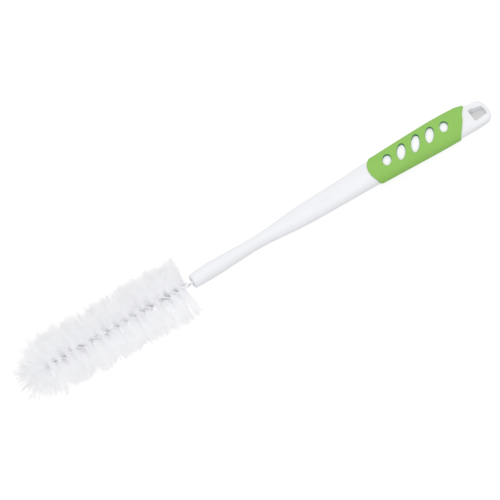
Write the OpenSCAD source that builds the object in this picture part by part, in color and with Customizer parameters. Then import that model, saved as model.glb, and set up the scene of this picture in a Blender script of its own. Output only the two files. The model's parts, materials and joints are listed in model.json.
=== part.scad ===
// Bottle brush: a twisted-wire bristle head moulded into a long plastic handle with a soft
// grip sleeve. It lies at rest on the rear bristles, which bend a little, and on the grip.
// Units are millimetres. +Z is up, the tail points to +X and the floor is Z = 0.

/* [Bristle head] */
// Diameter over the bristle tips
bristle_d = 43.5; // [38:0.5:52]
// Length of the round head, from the fold of the wire to its rear face
head_len = 118; // [80:1:150]
// Length of one full twist of the wire
twist_pitch = 14.2; // [12:0.2:18]
// Thickness of a row of bristles where it is widest
row_t = 4.4; // [3:0.1:5]
// How far the notches between tufts reach in from the bristle tips
notch = 3.2; // [2:0.1:5]
// Depth of the gaps between the tufts of the round tip
tip_gap = 10; // [6:0.5:13]
// Depth of the flat spot where the bristles bend on the floor
rest_flat = 1.6; // [1:0.1:2.2]

/* [Wire] */
// Diameter of the wire
wire_d = 1.6; // [1.2:0.1:2]
// Thickness of the bristles where the two strands clamp them
clamp_t = 0.4; // [0.3:0.05:0.7]
// Bare wire between the bristles and the handle
bare_len = 5.5; // [3:0.5:15]
// Length of twisted wire held inside the handle
anchor_len = 28; // [15:1:40]

/* [Handle] */
// Length of the handle
handle_len = 254; // [230:1:290]
// Diameter of the front end
front_d = 10.6; // [9:0.1:12]
// Diameter of the swelling behind the front end
collar_d = 11.8; // [10:0.1:13]
// Distance of the swelling from the front end
collar_pos = 16; // [12:1:20]
// Diameter of the thinnest place
neck_d = 9.8; // [8:0.1:10.5]
// Distance of the thinnest place from the front end
neck_pos = 57; // [45:1:65]
// Width of the handle in the grip
grip_w = 22.6; // [20:0.2:25]
// Thickness of the handle in the grip
grip_t = 13.4; // [12:0.2:15]
// Width of the tail beside the sleeve
tail_w = 20; // [18:0.2:22]
// Thickness of the tail beside the hanging hole
tail_t = 8; // [7:0.2:9]
// How far the handle arches to one side at the grip
arch = 3.6; // [0:0.2:5]
// Length of the tail behind the sleeve, on the centre line
tail_len = 22; // [20:0.5:28]
// Depth of the finger dish in each face
dish_depth = 1.1; // [0.4:0.1:1.4]

/* [Hanging hole] */
// Length of the hole
hole_len = 11.6; // [9:0.2:12]
// Width of the hole at the sleeve's end
hole_w = 10.4; // [9:0.2:11]
// Width of the hole at the tail's end
hole_end_w = 7.2; // [6:0.2:8]
// Wall behind the hole
hole_wall = 3.5; // [3:0.1:5]

/* [Grip sleeve] */
// Length of the sleeve on the centre line
sleeve_len = 81; // [70:1:90]
// Thickness of the sleeve
sleeve_t = 1.8; // [1.4:0.1:2.2]
// How far the sleeve stands proud of the handle
sleeve_proud = 0.9; // [0.5:0.1:1.2]
// How far the sleeve's front end bulges towards the neck
sleeve_bulge = 5; // [0:0.5:8]
// How much further back the sleeve's front end stands underneath
sleeve_under = 5; // [0:0.5:7]
// How far the sleeve's rear end leans from side to side
sleeve_slant = 20; // [10:0.5:21]
// Number of windows in the sleeve
windows = 5; // [3:1:6]
// Length of the longest window, across the grip
window_len = 15; // [12:0.5:16]
// Width of each window, along the grip
window_w = 6.4; // [5:0.2:7.5]

/* [Hidden] */
$fn = 48;
clearance = 0.12;

// Places along the brush, measured from the front of the bristles.
bristle_r = bristle_d / 2;
fold_x = bristle_r;
head_rear_x = fold_x + head_len;
handle_x = head_rear_x + bare_len;
tail_x = handle_x + handle_len;
wire_end_x = handle_x + anchor_len;

// Places along the handle, measured from its front end.
sleeve_rear = handle_len - tail_len;
sleeve_front = sleeve_rear - sleeve_len;
shoulder_pos = (neck_pos + sleeve_front) / 2 - 13;
grip_pos = sleeve_front + 0.7 * sleeve_len;
recess = sleeve_t - sleeve_proud;
front_round = 1.2;
tail_round = 8;
sleeve_edge = 0.5;
sleeve_corner = 3.2;

// Outline of the handle: place, half width, half thickness, side shift, squareness.
outline = [
    [0, front_d / 2, front_d / 2, 0.08 * arch, 2],
    [collar_pos, collar_d / 2, collar_d / 2, 0.25 * arch, 2],
    [neck_pos, neck_d / 2, neck_d / 2, 0.45 * arch, 2],
    [shoulder_pos, 0.345 * grip_w, 0.415 * grip_t, 0.56 * arch, 2.1],
    [sleeve_front - 28, 0.385 * grip_w, 0.455 * grip_t, 0.69 * arch, 2.2],
    [sleeve_front, 0.42 * grip_w, 0.48 * grip_t, 0.89 * arch, 2.3],
    [grip_pos, grip_w / 2, grip_t / 2, arch, 2.4],
    [sleeve_rear, 0.5 * grip_w, 0.42 * grip_t, 0.9 * arch, 2.4],
    [sleeve_rear + 8, tail_w / 2, tail_t / 2 + 0.5, 0.61 * arch, 3.6],
    [handle_len, 0.47 * tail_w, tail_t / 2 - 0.5, 0.62 * arch, 4],
];

// Smooth curve through the rows of the outline.
function row_after(h, i = 1) = i == len(outline) - 1 || h <= outline[i][0] ? i : row_after(h, i + 1);
function row_slope(i) =
    let (a = outline[max(i - 1, 0)], b = outline[min(i + 1, len(outline) - 1)])
    (b - a) / (b[0] - a[0]);
function profile(h) =
    let (i = row_after(h), a = outline[i - 1], b = outline[i], step = b[0] - a[0], u = (h - a[0]) / step)
    (2 * u ^ 3 - 3 * u ^ 2 + 1) * a + (u ^ 3 - 2 * u ^ 2 + u) * step * row_slope(i - 1)
    + (3 * u ^ 2 - 2 * u ^ 3) * b + (u ^ 3 - u ^ 2) * step * row_slope(i);

function mix(a, b, t) = a + (b - a) * t;
function signed_pow(v, n) = sign(v) * abs(v) ^ n;
function ease(low, high, v) = let (t = max(0, min(1, (v - low) / (high - low)))) t * t * (3 - 2 * t);
function flat(lists) = [for (list = lists) each list];

// The dish is leaf-shaped: pointed at the neck, round at the sleeve.
dish_start = shoulder_pos + 7;
dish_end = sleeve_front - 3;
dish_half_w = 0.21 * grip_w;
dish_side = -0.12 * grip_w;
function dish(h, y) =
    h <= dish_start || h >= dish_end ? 0
    : let (t = (h - dish_start) / (dish_end - dish_start), half = dish_half_w * 1.75 * t ^ 0.8 * (1 - t) ^ 0.4)
      dish_depth * max(0, 1 - ((y - dish_side) / half) ^ 2) ^ 1.3 * min(1, 3 * t, 3.5 * (1 - t));

// One point of the handle's skin, by place and angle round the axis.
function skin_point(h, angle, off = 0, shrink = 1) =
    let (p = profile(h), n = 2 / p[4], c = cos(angle), s = sin(angle))
    let (y = (p[1] * shrink + off) * signed_pow(c, n), z = (p[2] * shrink + off) * signed_pow(s, n))
    [handle_x + h, p[3] + y, z - sign(z) * dish(h, y)];

ring_n = 32;
angles = [for (j = [0:ring_n - 1]) (j + 0.5) * 360 / ring_n];

// Edges of the sleeve, and rings of the skin between two places that may follow them.
function sleeve_front_edge(angle) =
    sleeve_front + sleeve_bulge * cos(angle) * (cos(angle) + 0.4) + sleeve_under * ease(-0.2, 0.7, -sin(angle));
function sleeve_rear_edge(angle) =
    sleeve_rear + sleeve_slant / 2 * cos(angle) - sleeve_corner * max(0, cos(angle)) ^ 3
    + 0.06 * sleeve_slant * max(0, -cos(angle));
function plain_ring(h, off = 0, shrink = 1) = [for (a = angles) skin_point(h, a, off, shrink)];
function front_ring(t, off = 0) =
    [for (a = angles) skin_point(mix(warp_start, sleeve_front_edge(a), t), a, off)];
function sleeve_ring(t, off, inset = 0) =
    [for (a = angles)
        skin_point(mix(sleeve_front_edge(a) + inset, sleeve_rear_edge(a) - inset, t), a, off)];
function rear_ring(t, off = 0) =
    [for (a = angles) skin_point(mix(sleeve_rear_edge(a), warp_end, t), a, off)];

warp_start = shoulder_pos;
warp_end = handle_len - tail_round;
shank_rings = 14;
front_rings = 9;
sleeve_rings = 12;
rear_rings = 4;

// Closed skin over a list of rings.
module skin(rings) {
    n = len(rings[0]);
    last = len(rings) - 1;
    sides = [
        for (k = [0:last - 1], j = [0:n - 1])
            let (a = k * n, b = a + n, i = (j + 1) % n)
            each [[a + j, b + j, b + i], [a + j, b + i, a + i]]
    ];
    caps = [[for (j = [0:n - 1]) j], [for (j = [n - 1:-1:0]) last * n + j]];
    polyhedron(flat(rings), concat(sides, caps), convexity = 8);
}

// Closed skin of a tube wall: its rings run along the bore and come back along the outside.
module tube_skin(rings) {
    n = len(rings[0]);
    sides = [
        for (k = [0:len(rings) - 1], j = [0:n - 1])
            let (a = k * n, b = (k + 1) % len(rings) * n, i = (j + 1) % n)
            each [[a + j, b + i, b + j], [a + j, a + i, b + i]]
    ];
    polyhedron(flat(rings), sides, convexity = 8);
}

module hanging_hole() {
    end_x = handle_x + handle_len - hole_wall;
    corner_r = 1.4;
    translate([end_x, 0.45 * arch, -tail_t])
        linear_extrude(2 * tail_t)
            hull() {
                for (side = [-1, 1]) {
                    translate([-hole_len + corner_r, side * (hole_w / 2 - corner_r)]) circle(corner_r, $fn = 32);
                    translate([-corner_r, side * (hole_end_w / 2 - corner_r)]) circle(corner_r, $fn = 32);
                }
            }
}

module handle() {
    color("white")
        lay() difference() {
            skin(concat(
                [for (a = [0:30:60]) plain_ring(front_round * (1 - cos(a)), -front_round * (1 - sin(a)))],
                [for (k = [0:shank_rings - 1]) plain_ring(mix(front_round, warp_start, k / shank_rings))],
                [for (k = [0:front_rings]) front_ring(k / front_rings)],
                [for (k = [0:sleeve_rings]) sleeve_ring(k / sleeve_rings, -recess)],
                [for (k = [0:rear_rings - 1]) rear_ring(k / rear_rings)],
                [for (a = [0:16:80])
                    plain_ring(handle_len - tail_round * (1 - sin(a) ^ 0.85), 0, cos(a) ^ 0.85)]
            ));
            hanging_hole();
            translate([handle_x - 1, 0, 0])
                rotate([0, 90, 0]) cylinder(h = anchor_len + 1.5, d = socket_d);
        }
}

// Ovals in a row along the grip, longest in the middle, leaning with the sleeve's rear end.
module sleeve_windows() {
    pitch = 0.76 * sleeve_len / windows;
    lean = atan(0.8 * sleeve_slant / grip_w);
    for (k = [0:windows - 1]) {
        from_middle = k - (windows - 1) / 2;
        len = window_len * (1 - 0.1 * from_middle ^ 2);
        place = (sleeve_front + sleeve_rear) / 2 + from_middle * pitch;
        translate([handle_x + place, profile(place)[3], 0])
            rotate(-lean)
                linear_extrude(grip_t)
                    polygon([for (a = [0:15:345]) [window_w / 2 * cos(a), len / 2 * sin(a)]]);
    }
}

module grip_sleeve() {
    color("yellowgreen")
        lay() difference() {
            tube_skin(concat(
                [for (k = [0:sleeve_rings]) sleeve_ring(k / sleeve_rings, -recess)],
                [sleeve_ring(1, 0), sleeve_ring(1, sleeve_proud - sleeve_edge)],
                [for (k = [sleeve_rings:-1:0]) sleeve_ring(k / sleeve_rings, sleeve_proud, sleeve_edge)],
                [sleeve_ring(0, sleeve_proud - sleeve_edge), sleeve_ring(0, 0)]
            ));
            sleeve_windows();
        }
}

// The twist: the rows of bristles stand upright at the rear face of the head.
twist_run = twist_pitch * 180 / PI / 360;
function row_angle(x) = 90 + 360 * (x - head_rear_x) / twist_pitch;
function spoke(angle) = [0, cos(angle), sin(angle)];

// One wire, folded at the tip, whose two strands wind round the clamped bristles.
strand_r = wire_d / 2 + clamp_t / 2 + clearance;
socket_d = 2 * strand_r + wire_d + 2 * clearance;
wire_sides = 6;
wire_steps = 10;
fold_steps = 6;

function wire_ring(centre, out, along) =
    let (side = cross(along / norm(along), out))
    [for (k = [0:wire_sides - 1])
        let (a = (k + 0.5) * 360 / wire_sides) centre + wire_d / 2 * (out * cos(a) + side * sin(a))];
function strand_ring(x, turn, heading) =
    let (a = row_angle(x) + turn, out = spoke(a))
    wire_ring([x, 0, 0] + strand_r * out, out, heading * ([twist_run, 0, 0] + strand_r * spoke(a + 90)));
function fold_ring(a) =
    let (up = spoke(row_angle(fold_x) + 90), forward = [-1, 0, 0])
    let (out = up * cos(a) + forward * sin(a))
    wire_ring([fold_x, 0, 0] + strand_r * out, out, forward * cos(a) - up * sin(a));

module twisted_wire() {
    steps = ceil((wire_end_x - fold_x) / twist_pitch * wire_steps);
    color("silver")
        lay() skin(concat(
            [for (k = [steps:-1:1]) strand_ring(mix(fold_x, wire_end_x, k / steps), 90, -1)],
            [for (k = [0:fold_steps]) fold_ring(180 * k / fold_steps)],
            [for (k = [1:steps]) strand_ring(mix(fold_x, wire_end_x, k / steps), 270, 1)]
        ));
}

// Rows of bristles: one twisted ribbon, thin between the strands and fanned out to tufts.
row_steps = 24;
row_clamp_r = wire_d / 2 + 0.5;
row_wide_r = 0.78 * bristle_r;
row_start_x = fold_x + row_t / 2 + 0.8;

function row_point(x, r, half_t) =
    let (a = row_angle(x), across = [r, 0, 0] - twist_run * spoke(a + 90))
    [x, 0, 0] + r * spoke(a) + half_t * across / norm(across);

module bristles() {
    step_x = twist_pitch / row_steps;
    steps = floor((head_rear_x - row_start_x) / step_x);
    radii = [-row_wide_r, -row_clamp_r, row_clamp_r, row_wide_r];
    halves = [row_t / 2, clamp_t / 2, clamp_t / 2, row_t / 2];
    uneven = rands(-0.02, 0, 2 * steps + 2, 7);
    // Each step has four points on each face, two tuft tips and two notches.
    points = flat([
        for (k = [0:steps])
            let (x = head_rear_x - (steps - k) * step_x, tip = k == steps ? 0 : 1)
            concat(
                [for (i = [0:3]) row_point(x, radii[i], halves[i])],
                [for (i = [0:3]) row_point(x, radii[i], -halves[i])],
                [for (i = [0:1]) row_point(x, (2 * i - 1) * bristle_r * (1 + tip * uneven[2 * k + i]), 0)],
                [for (i = [0:1]) row_point(x + step_x / 2, (2 * i - 1) * (bristle_r - notch), 0)]
            )
    ]);
    faces = flat([
        for (k = [0:steps - 1])
            let (a = 12 * k, b = a + 12)
            concat(
                flat([for (i = [0:2]) [[a + i, b + i, b + i + 1], [a + i, b + i + 1, a + i + 1]]]),
                flat([for (i = [4:6]) [[a + i, b + i + 1, b + i], [a + i, a + i + 1, b + i + 1]]]),
                flat([for (face = [0, 4])
                    [for (f = [
                        [a + face, a + 8, a + 10], [a + face, a + 10, b + face], [b + face, a + 10, b + 8],
                        [a + face + 3, a + 11, a + 9], [a + face + 3, b + face + 3, a + 11],
                        [b + face + 3, b + 9, a + 11]
                    ]) face == 0 ? f : [f[2], f[1], f[0]]]])
            )
    ]);
    ends = flat([
        for (k = [0, steps])
            let (a = 12 * k)
            [for (f = [
                [a, a + 4, a + 8], [a + 3, a + 9, a + 7],
                for (i = [0:2]) each [[a + i, a + i + 1, a + i + 5], [a + i, a + i + 5, a + i + 4]]
            ]) k == 0 ? f : [f[2], f[1], f[0]]]
    ]);
    color("whitesmoke")
        difference() {
            lay() polyhedron(points, concat(faces, ends), convexity = 20);
            translate([-tail_x, -bristle_r, -bristle_r]) cube([2 * tail_x, bristle_d, bristle_r]);
        }
}

// Tufts fanned out over the fold: long and short points alternate over half a ball.
module tip_tuft() {
    spokes = 20;
    tiers = 5;
    uneven = rands(0.94, 1, spokes * tiers, 11);
    points = concat(
        [[0, 0, 0], [-bristle_r, 0, 0]],
        [for (t = [0:tiers - 1], s = [0:spokes - 1])
            let (tilt = 90 * t / tiers, r = (t + s) % 2 == 0 ? bristle_r * uneven[t * spokes + s] : bristle_r - tip_gap)
            r * (cos(tilt) * spoke(360 * s / spokes) + [-sin(tilt), 0, 0])]
    );
    function at(t, s) = 2 + t * spokes + s % spokes;
    faces = concat(
        [for (s = [0:spokes - 1]) [0, at(0, s + 1), at(0, s)]],
        [for (t = [0:tiers - 2], s = [0:spokes - 1])
            each (t + s) % 2 == 0
                ? [[at(t, s), at(t, s + 1), at(t + 1, s)], [at(t, s + 1), at(t + 1, s + 1), at(t + 1, s)]]
                : [[at(t, s), at(t + 1, s + 1), at(t + 1, s)], [at(t, s), at(t, s + 1), at(t + 1, s + 1)]]],
        [for (s = [0:spokes - 1]) [1, at(tiers - 1, s), at(tiers - 1, s + 1)]]
    );
    color("whitesmoke")
        lay() difference() {
            translate([fold_x, 0, 0]) polyhedron(points, faces, convexity = 12);
            translate([fold_x, 0, 0]) sphere(strand_r + wire_d / 2 + 3 * clearance);
        }
}

// Rest: the flat spot under the rear bristles and the underside of the grip lie on the floor.
rest_r = bristle_r - rest_flat;
grip_rest_x = handle_x + sleeve_rear - 4;
grip_rest_z = profile(sleeve_rear - 4)[2] + sleeve_proud;
lie_angle = atan((rest_r - grip_rest_z) / (grip_rest_x - head_rear_x));
module lay() {
    translate([-tail_x * cos(lie_angle) / 2, 0, rest_r * cos(lie_angle) + head_rear_x * sin(lie_angle)])
        rotate([0, lie_angle, 0])
            children();
}

handle();
grip_sleeve();
twisted_wire();
bristles();
tip_tuft();
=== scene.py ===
# Bottle brush on a pale floor: wire and bristles by Geometry Nodes, handle and sleeve as smooth
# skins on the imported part's own outline. Lengths are millimetres along the brush's own axes
# (X from the bristle tips to the tail, Z up through the flat of the grip) and are laid in the
# part's frame at the end of each piece.
import math
import re

import bpy
import numpy as np
from mathutils import Matrix, Vector
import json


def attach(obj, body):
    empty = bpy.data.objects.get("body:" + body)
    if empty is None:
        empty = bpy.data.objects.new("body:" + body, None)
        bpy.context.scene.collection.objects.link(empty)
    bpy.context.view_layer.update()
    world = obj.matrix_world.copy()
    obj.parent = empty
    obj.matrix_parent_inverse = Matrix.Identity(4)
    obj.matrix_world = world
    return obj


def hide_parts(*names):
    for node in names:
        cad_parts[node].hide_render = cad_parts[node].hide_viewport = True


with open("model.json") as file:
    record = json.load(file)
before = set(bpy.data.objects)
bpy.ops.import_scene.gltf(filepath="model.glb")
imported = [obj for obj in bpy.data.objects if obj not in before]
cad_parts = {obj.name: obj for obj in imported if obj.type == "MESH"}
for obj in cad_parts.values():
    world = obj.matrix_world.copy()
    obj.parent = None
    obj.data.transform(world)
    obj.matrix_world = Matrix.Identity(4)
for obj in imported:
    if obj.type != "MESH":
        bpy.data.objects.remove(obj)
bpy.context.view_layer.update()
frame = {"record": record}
scene = bpy.context.scene

# places on the brush
brush = {
    "headRadius": 21.75,
    "headLength": 118.0,  # from the fold of the wire to the rear face of the bristles
    "twistPitch": 14.2,
    "bareWire": 5.5,
    "anchor": 28.0,  # wire held in the handle
    "handleLength": 254.0,
    "restFlat": 1.6,  # how far the floor pushes the rear bristles in
}
foldX = brush["headRadius"]
headRearX = foldX + brush["headLength"]
handleX = headRearX + brush["bareWire"]
tailX = handleX + brush["handleLength"]

holeAxis = Vector(frame["record"]["mounts"][0]["axis"])
lieAngle = math.atan2(holeAxis.x, holeAxis.z)
restRadius = brush["headRadius"] - brush["restFlat"]
axisHeight = restRadius * math.cos(lieAngle) + headRearX * math.sin(lieAngle)
layDown = (
    Matrix.Scale(0.001, 4)
    @ Matrix.Translation((-tailX * math.cos(lieAngle) / 2, 0, axisHeight))
    @ Matrix.Rotation(lieAngle, 4, "Y")
)


def rowAngle(x):
    # direction of the bristle row at x: upright at the rear face of the head
    return math.pi / 2 + 2 * math.pi * (x - headRearX) / brush["twistPitch"]


# node helpers
def addNode(tree, kind, inputs=None, **settings):
    node = tree.nodes.new(kind)
    for name, value in settings.items():
        setattr(node, name, value)
    for place, value in (inputs or {}).items():
        if isinstance(value, bpy.types.NodeSocket):
            tree.links.new(value, node.inputs[place])
        else:
            node.inputs[place].default_value = value
    return node


def maths(tree, operation, a, b=0.0, c=0.0):
    return addNode(tree, "ShaderNodeMath", {0: a, 1: b, 2: c}, operation=operation).outputs[0]


def vectors(tree, operation, a, b=(0, 0, 0)):
    node = addNode(tree, "ShaderNodeVectorMath", {0: a, 1: b}, operation=operation)
    return node.outputs["Value" if operation in ("DOT_PRODUCT", "DISTANCE") else "Vector"]


def scaled(tree, vector, factor):
    node = addNode(tree, "ShaderNodeVectorMath", {0: vector, "Scale": factor}, operation="SCALE")
    return node.outputs["Vector"]


def combined(tree, x, y, z):
    return addNode(tree, "ShaderNodeCombineXYZ", {0: x, 1: y, 2: z}).outputs[0]


def blended(tree, share, tint, other):
    # colour between two tints; the first is a plain colour or another node's output
    first = tint if isinstance(tint, bpy.types.NodeSocket) else (*tint, 1)
    inputs = {0: share, 6: first, 7: (*other, 1)}
    return addNode(tree, "ShaderNodeMix", inputs, data_type="RGBA").outputs[2]


def stored(tree, geometry, label, kind, value):
    inputs = {"Geometry": geometry, "Name": label, "Value": value}
    return addNode(tree, "GeometryNodeStoreNamedAttribute", inputs, data_type=kind).outputs[0]


def recalled(tree, label, kind):
    inputs = {"Name": label}
    return addNode(tree, "GeometryNodeInputNamedAttribute", inputs, data_type=kind).outputs[0]


def cleared(tree, geometry, labels):
    for label in labels:
        inputs = {"Geometry": geometry, "Name": label}
        geometry = addNode(tree, "GeometryNodeRemoveAttribute", inputs).outputs[0]
    return geometry


def newShapeTree(name, inputs):
    tree = bpy.data.node_groups.new(name, "GeometryNodeTree")
    tree.interface.new_socket("Geometry", in_out="INPUT", socket_type="NodeSocketGeometry")
    for label, value in inputs.items():
        kind = "Material" if label == "Material" else "Int" if isinstance(value, int) else "Float"
        socket = tree.interface.new_socket(label, in_out="INPUT", socket_type="NodeSocket" + kind)
        if value is not None:
            socket.default_value = value
    tree.interface.new_socket("Geometry", in_out="OUTPUT", socket_type="NodeSocketGeometry")
    return tree, tree.nodes.new("NodeGroupInput").outputs


def finishShapeTree(tree, geometry, material):
    real = addNode(tree, "GeometryNodeRealizeInstances", {0: geometry}).outputs[0]
    painted = addNode(tree, "GeometryNodeSetMaterial", {"Geometry": real, "Material": material})
    addNode(tree, "NodeGroupOutput", {0: painted.outputs[0]})


def placePiece(mesh, name, replaced):
    mesh.name = name
    mesh.transform(layDown)
    mesh.shade_smooth()
    piece = bpy.data.objects.new(name, mesh)
    scene.collection.objects.link(piece)
    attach(piece, "root")
    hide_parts(replaced)


def inputNames(values):
    # "reachSpread" becomes "Reach Spread", the name of a shape tree's input
    return {re.sub("([A-Z])", r" \1", key).title(): value for key, value in values.items()}


def growPiece(name, tree, values, replaced):
    # runs a shape tree on an empty mesh and keeps the result as a plain mesh
    holder = bpy.data.objects.new(name + "Source", bpy.data.meshes.new(name + "Source"))
    scene.collection.objects.link(holder)
    modifier = holder.modifiers.new(name, "NODES")
    modifier.node_group = tree
    for item in tree.interface.items_tree:
        if item.item_type == "SOCKET" and item.in_out == "INPUT" and item.name in values:
            modifier[item.identifier] = values[item.name]
    evaluated = holder.evaluated_get(bpy.context.evaluated_depsgraph_get())
    mesh = bpy.data.meshes.new_from_object(evaluated)
    holder.modifiers.remove(modifier)
    bpy.data.objects.remove(holder)
    placePiece(mesh, name, replaced)


# finishes
def makeGrainGroup():
    # fine moulded or drawn grain: roughness, a height for bump and a soft mottle
    tree = bpy.data.node_groups.new("surfaceGrain", "ShaderNodeTree")
    wanted = {"Scale": 900.0, "Roughness": 0.4, "Spread": 0.1, "Mottle Scale": 60.0}
    for label, value in wanted.items():
        socket = tree.interface.new_socket(label, in_out="INPUT", socket_type="NodeSocketFloat")
        socket.default_value = value
    for label in ("Roughness", "Height", "Mottle"):
        tree.interface.new_socket(label, in_out="OUTPUT", socket_type="NodeSocketFloat")
    given = tree.nodes.new("NodeGroupInput").outputs
    place = addNode(tree, "ShaderNodeTexCoord").outputs["Object"]

    def noise(scale, detail):
        inputs = {"Vector": place, "Scale": scale, "Detail": detail}
        return addNode(tree, "ShaderNodeTexNoise", inputs).outputs["Fac"]

    grain = noise(given["Scale"], 3.0)
    swing = maths(tree, "SUBTRACT", grain, 0.5)
    rough = maths(tree, "MULTIPLY_ADD", swing, given["Spread"], given["Roughness"])
    mottle = noise(given["Mottle Scale"], 2.0)
    addNode(tree, "NodeGroupOutput", {0: rough, 1: grain, 2: mottle})
    return tree


grainGroup = makeGrainGroup()
bumpStrength = 0.6


def newFinish(name, values, mask, **sockets):
    # one shader whose colour runs between two tints with the mottle, and to a third where the piece's own
    # mask says, the painted light or shade of that piece
    material = bpy.data.materials.new(name)
    material.use_nodes = True
    tree = material.node_tree
    shader = tree.nodes["Principled BSDF"]
    group = addNode(tree, "ShaderNodeGroup", node_tree=grainGroup)
    for label, value in values["grain"].items():
        group.inputs[label].default_value = value
    tint = blended(tree, group.outputs["Mottle"], values["darkTint"], values["lightTint"])
    masked = addNode(tree, "ShaderNodeAttribute", attribute_name=mask).outputs["Fac"]
    bump = addNode(
        tree,
        "ShaderNodeBump",
        {"Height": group.outputs["Height"], "Strength": bumpStrength, "Distance": values["bumpHeight"]},
    )
    tree.links.new(blended(tree, masked, tint, values[mask + "Tint"]), shader.inputs["Base Color"])
    tree.links.new(group.outputs["Roughness"], shader.inputs["Roughness"])
    tree.links.new(bump.outputs[0], shader.inputs["Normal"])
    for label, value in sockets.items():
        shader.inputs[label].default_value = value
    return material, masked, shader


plastic = {
    "grain": {"Scale": 260.0, "Roughness": 0.32, "Spread": 0.12, "Mottle Scale": 45.0},
    "darkTint": (0.86, 0.87, 0.9),
    "lightTint": (0.9, 0.905, 0.93),
    "bumpHeight": 0.00004,
    "ior": 1.49,
    # painted light under the sleeve: a brighter tint and a glow against the shade in its windows
    "coveredTint": (0.99, 0.99, 0.99),
    "coveredPaintedGlow": 0.07,
}


def makeHandlePlastic():
    # painted light where the sleeve lies over the handle: a brighter white and a glow that lift the
    # shade in the sleeve's windows
    material, covered, shader = newFinish("handlePlastic", plastic, "covered", IOR=plastic["ior"])
    material.node_tree.links.new(covered, shader.inputs["Emission Color"])
    shader.inputs["Emission Strength"].default_value = plastic["coveredPaintedGlow"]
    return material


handlePlastic = makeHandlePlastic()

rubber = {
    "grain": {"Scale": 2600.0, "Roughness": 0.62, "Spread": 0.25, "Mottle Scale": 55.0},
    "darkTint": (0.266, 0.54, 0.095),
    "lightTint": (0.289, 0.574, 0.109),
    "bumpHeight": 0.00006,
    "wallTint": (0.02, 0.2, 0.075),  # painted shade of the windows' walls
}
gripRubber = newFinish("gripRubber", rubber, "wall")[0]

steel = {
    "grain": {"Scale": 1500.0, "Roughness": 0.3, "Spread": 0.2, "Mottle Scale": 300.0},
    "darkTint": (0.93, 0.94, 0.95),
    "lightTint": (1.0, 1.0, 1.0),
    "bumpHeight": 0.00002,
    "grooveTint": (0.95, 0.95, 0.97),  # painted shade between the two strands
}
wireSteel = newFinish("wireSteel", steel, "groove", Metallic=1.0)[0]

nylon = {
    "darkTint": (0.922, 0.924, 0.936),
    "lightTint": (0.957, 0.959, 0.968),
    "roughness": 0.42,
    "ior": 1.53,
    "glow": (0.64, 0.64, 0.655),  # painted glow, in place of light let through
    "paintedGlowShaded": (0.98, 0.98, 1.0),  # painted glow on the shaded side, where it shows most
    "paintedGlowStrength": 0.23,
    "paintedGlowSide": (0.0, -0.9, -0.44),
    "paintedGlowStart": 0.004,  # metres from the wire, to that side
    "paintedGlowEnd": 0.02,
}


def makeBristleNylon():
    # clear-white filaments, each a shade of its own
    material = bpy.data.materials.new("bristleNylon")
    material.use_nodes = True
    tree = material.node_tree
    shader = tree.nodes["Principled BSDF"]
    shade = addNode(tree, "ShaderNodeAttribute", attribute_name="shade").outputs["Fac"]
    tint = blended(tree, shade, nylon["darkTint"], nylon["lightTint"])
    # painted light: the filaments glow, more so on the shaded side away from the wire
    wireHeight = (layDown @ Vector((headRearX / 2, 0, 0))).z
    place = addNode(tree, "ShaderNodeTexCoord").outputs["Object"]
    fromWire = vectors(tree, "SUBTRACT", place, (0, 0, wireHeight))
    away = vectors(tree, "DOT_PRODUCT", fromWire, nylon["paintedGlowSide"])
    paintedGlowShare = addNode(
        tree,
        "ShaderNodeMapRange",
        {"Value": away, "From Min": nylon["paintedGlowStart"], "From Max": nylon["paintedGlowEnd"]},
    ).outputs[0]
    glow = blended(tree, paintedGlowShare, nylon["glow"], nylon["paintedGlowShaded"])
    tree.links.new(tint, shader.inputs["Base Color"])
    tree.links.new(glow, shader.inputs["Emission Color"])
    shader.inputs["Emission Strength"].default_value = nylon["paintedGlowStrength"]
    shader.inputs["Roughness"].default_value = nylon["roughness"]
    shader.inputs["IOR"].default_value = nylon["ior"]
    return material


bristleNylon = makeBristleNylon()
print("finishes made")

# twisted wire
wire = {
    "diameter": 1.6,
    "clamped": 0.4,  # bristles between the strands
    "clearance": 0.12,
    "step": 0.45,  # between rings along the strand
    "sides": 14,
    "grooveStart": 0.55,  # share of the strand's radius, outwards from its middle
    "grooveFull": 0.2,
}
strandRadius = wire["diameter"] / 2 + wire["clamped"] / 2 + wire["clearance"]


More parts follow.
